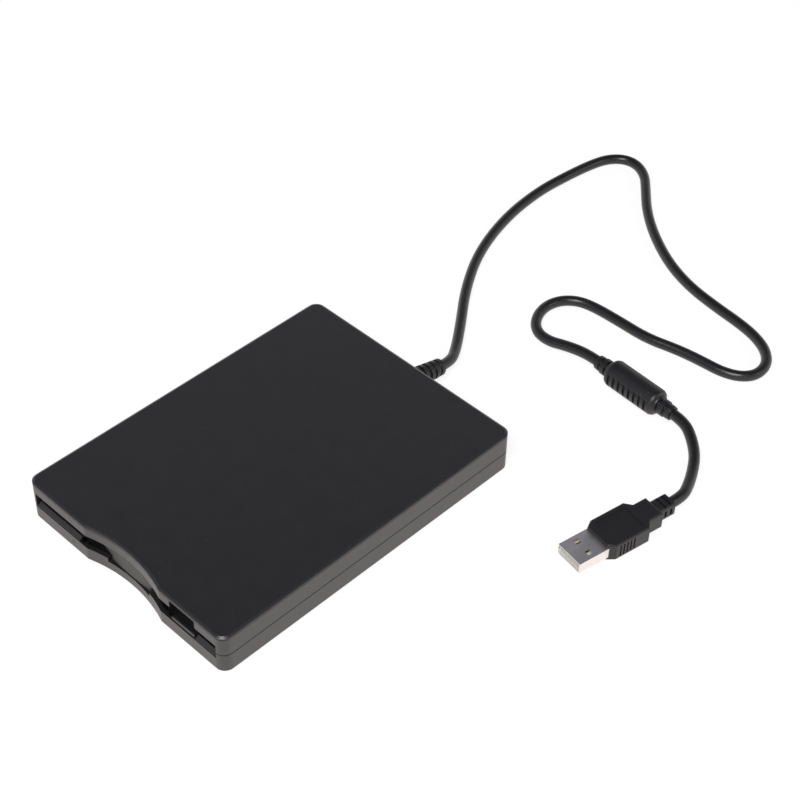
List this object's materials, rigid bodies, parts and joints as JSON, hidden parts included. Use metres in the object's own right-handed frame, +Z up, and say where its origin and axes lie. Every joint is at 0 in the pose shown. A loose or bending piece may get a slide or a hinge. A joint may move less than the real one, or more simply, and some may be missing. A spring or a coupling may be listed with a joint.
{
  "type": "external floppy disk drive",
  "caption": "Slim external drive for 3.5 inch floppy disks, with a sprung slot flap, eject button, working mechanism inside and a fixed USB cord with a ferrite sleeve.",
  "frame": {"origin": "middle of the case's footprint, at the height of the surface under the feet", "axes": "+X to the right seen from the disk slot, +Y from the slot to the cord's end, +Z up"},
  "size_m": [0.1693, 0.3271, 0.018],
  "materials": {
    "case_plastic": "satin dark grey moulded plastic",
    "bezel_plastic": "satin dark grey moulded plastic",
    "button_plastic": "satin dark grey moulded plastic",
    "foot_rubber": "black soft rubber",
    "cord_rubber": "dark grey flexible vinyl",
    "plated_steel": "bright nickel plate",
    "plug_tongue": "white moulded plastic",
    "gold_contacts": "gold plate",
    "clear_plastic": "clear moulded rod",
    "sheet_steel": "zinc-plated pressed sheet",
    "ground_steel": "ground steel",
    "sintered_bronze": "oiled sintered bronze",
    "core_iron": "coated laminated iron",
    "magnet": "bonded ferrite",
    "copper_wire": "enamelled copper wire",
    "carriage_plastic": "black filled plastic",
    "head_ceramic": "polished ceramic",
    "switch_plastic": "black moulded plastic",
    "plunger_plastic": "white moulded plastic",
    "circuit_board": "green solder mask",
    "ribbon": "pale flat cable"
  },
  "bodies": {
    "case": {"top_shell": "case_plastic", "bottom_shell": "case_plastic", "front_bezel": "bezel_plastic", "rubber_feet": "foot_rubber", "strain_relief": "cord_rubber", "cord_to_ferrite": "cord_rubber", "ferrite_sleeve": "cord_rubber", "cord_to_plug": "cord_rubber", "plug_grip": "cord_rubber", "plug_shell": "plated_steel", "case_screws": "plated_steel", "frame_screws": "plated_steel", "plug_tongue": "plug_tongue", "plug_contacts": "gold_contacts", "led_light_pipe": "clear_plastic", "drive_frame": "sheet_steel", "frame_cover": "sheet_steel", "stepper_bracket": "sheet_steel", "guide_rods": "ground_steel", "stepper_motor": "ground_steel", "flap_spring": "ground_steel", "spindle_bearing": "sintered_bronze", "stator_core": "core_iron", "stator_coils": "copper_wire", "rod_clips": "carriage_plastic", "switch_housings": "switch_plastic", "track_zero_sensor": "switch_plastic", "ribbon_sockets": "switch_plastic", "logic_chips": "switch_plastic", "bridge_chips": "switch_plastic", "logic_board": "circuit_board", "bridge_board": "circuit_board", "motor_board": "circuit_board", "ribbon_cable": "ribbon"},
    "slider": {"slider_plate": "sheet_steel", "eject_button": "button_plastic"},
    "carrier": {"disk_carrier": "sheet_steel"},
    "lever": {"shutter_lever": "sheet_steel"},
    "carriage": {"head_carriage": "carriage_plastic", "lower_head": "head_ceramic", "arm_leaf_spring": "ground_steel"},
    "head_arm": {"upper_head_arm": "carriage_plastic", "upper_head": "head_ceramic"},
    "screw": {"lead_screw": "ground_steel"},
    "spindle": {"spindle_rotor": "ground_steel", "rotor_magnet": "magnet", "spindle_hub": "ground_steel"},
    "flap": {"dust_flap": "bezel_plastic"},
    "write_protect_switch": {"write_protect_plunger": "plunger_plastic"},
    "density_switch": {"density_plunger": "plunger_plastic"}
  },
  "joints": [
    {"name": "slider_travel", "type": "slide", "parent": "case", "child": "slider", "axis": [0, -1, 0], "range_m": [0, 0.0065]},
    {"name": "carrier_drop", "type": "slide", "parent": "case", "child": "carrier", "axis": [0, 0, -1], "range_m": [0, 0.0015]},
    {"name": "shutter_lever_swing", "type": "hinge", "parent": "carrier", "child": "lever", "pos_m": [-0.034, 0.023, 0.0139], "axis": [0, 0, 1], "range_deg": [0, 55], "stiffness_Nm_per_rad": 0.002, "springref_deg": -17.19},
    {"name": "carriage_travel", "type": "slide", "parent": "case", "child": "carriage", "axis": [0, -1, 0], "range_m": [0, 0.0148]},
    {"name": "head_arm_drop", "type": "hinge", "parent": "carriage", "child": "head_arm", "pos_m": [0, 0.046, 0.0132], "axis": [1, 0, 0], "range_deg": [0, 8.6]},
    {"name": "lead_screw_turn", "type": "hinge", "parent": "case", "child": "screw", "pos_m": [0.019, 0.04, 0.0082], "axis": [0, 1, 0], "range_deg": [0, 1421]},
    {"name": "spindle_turn", "type": "hinge", "parent": "case", "child": "spindle", "pos_m": [0, -0.0175, 0.005], "axis": [0, 0, 1], "continuous": true},
    {"name": "flap_swing", "type": "hinge", "parent": "case", "child": "flap", "pos_m": [0, -0.0651, 0.0149], "axis": [1, 0, 0], "range_deg": [0, 85], "stiffness_Nm_per_rad": 0.002, "springref_deg": -20.05},
    {"name": "write_protect_press", "type": "slide", "parent": "case", "child": "write_protect_switch", "axis": [0, 0, -1], "range_m": [0, 0.001], "stiffness_N_per_m": 100, "springref_m": -0.001},
    {"name": "density_press", "type": "slide", "parent": "case", "child": "density_switch", "axis": [0, 0, -1], "range_m": [0, 0.001], "stiffness_N_per_m": 100, "springref_m": -0.001}
  ],
  "couplings": [
    {"joint": "carrier_drop", "follows": "slider_travel", "ratio": 0.2307},
    {"joint": "head_arm_drop", "follows": "slider_travel", "rad_per_m": 23.05},
    {"joint": "lead_screw_turn", "follows": "carriage_travel", "rad_per_m": 1675.5}
  ]
}
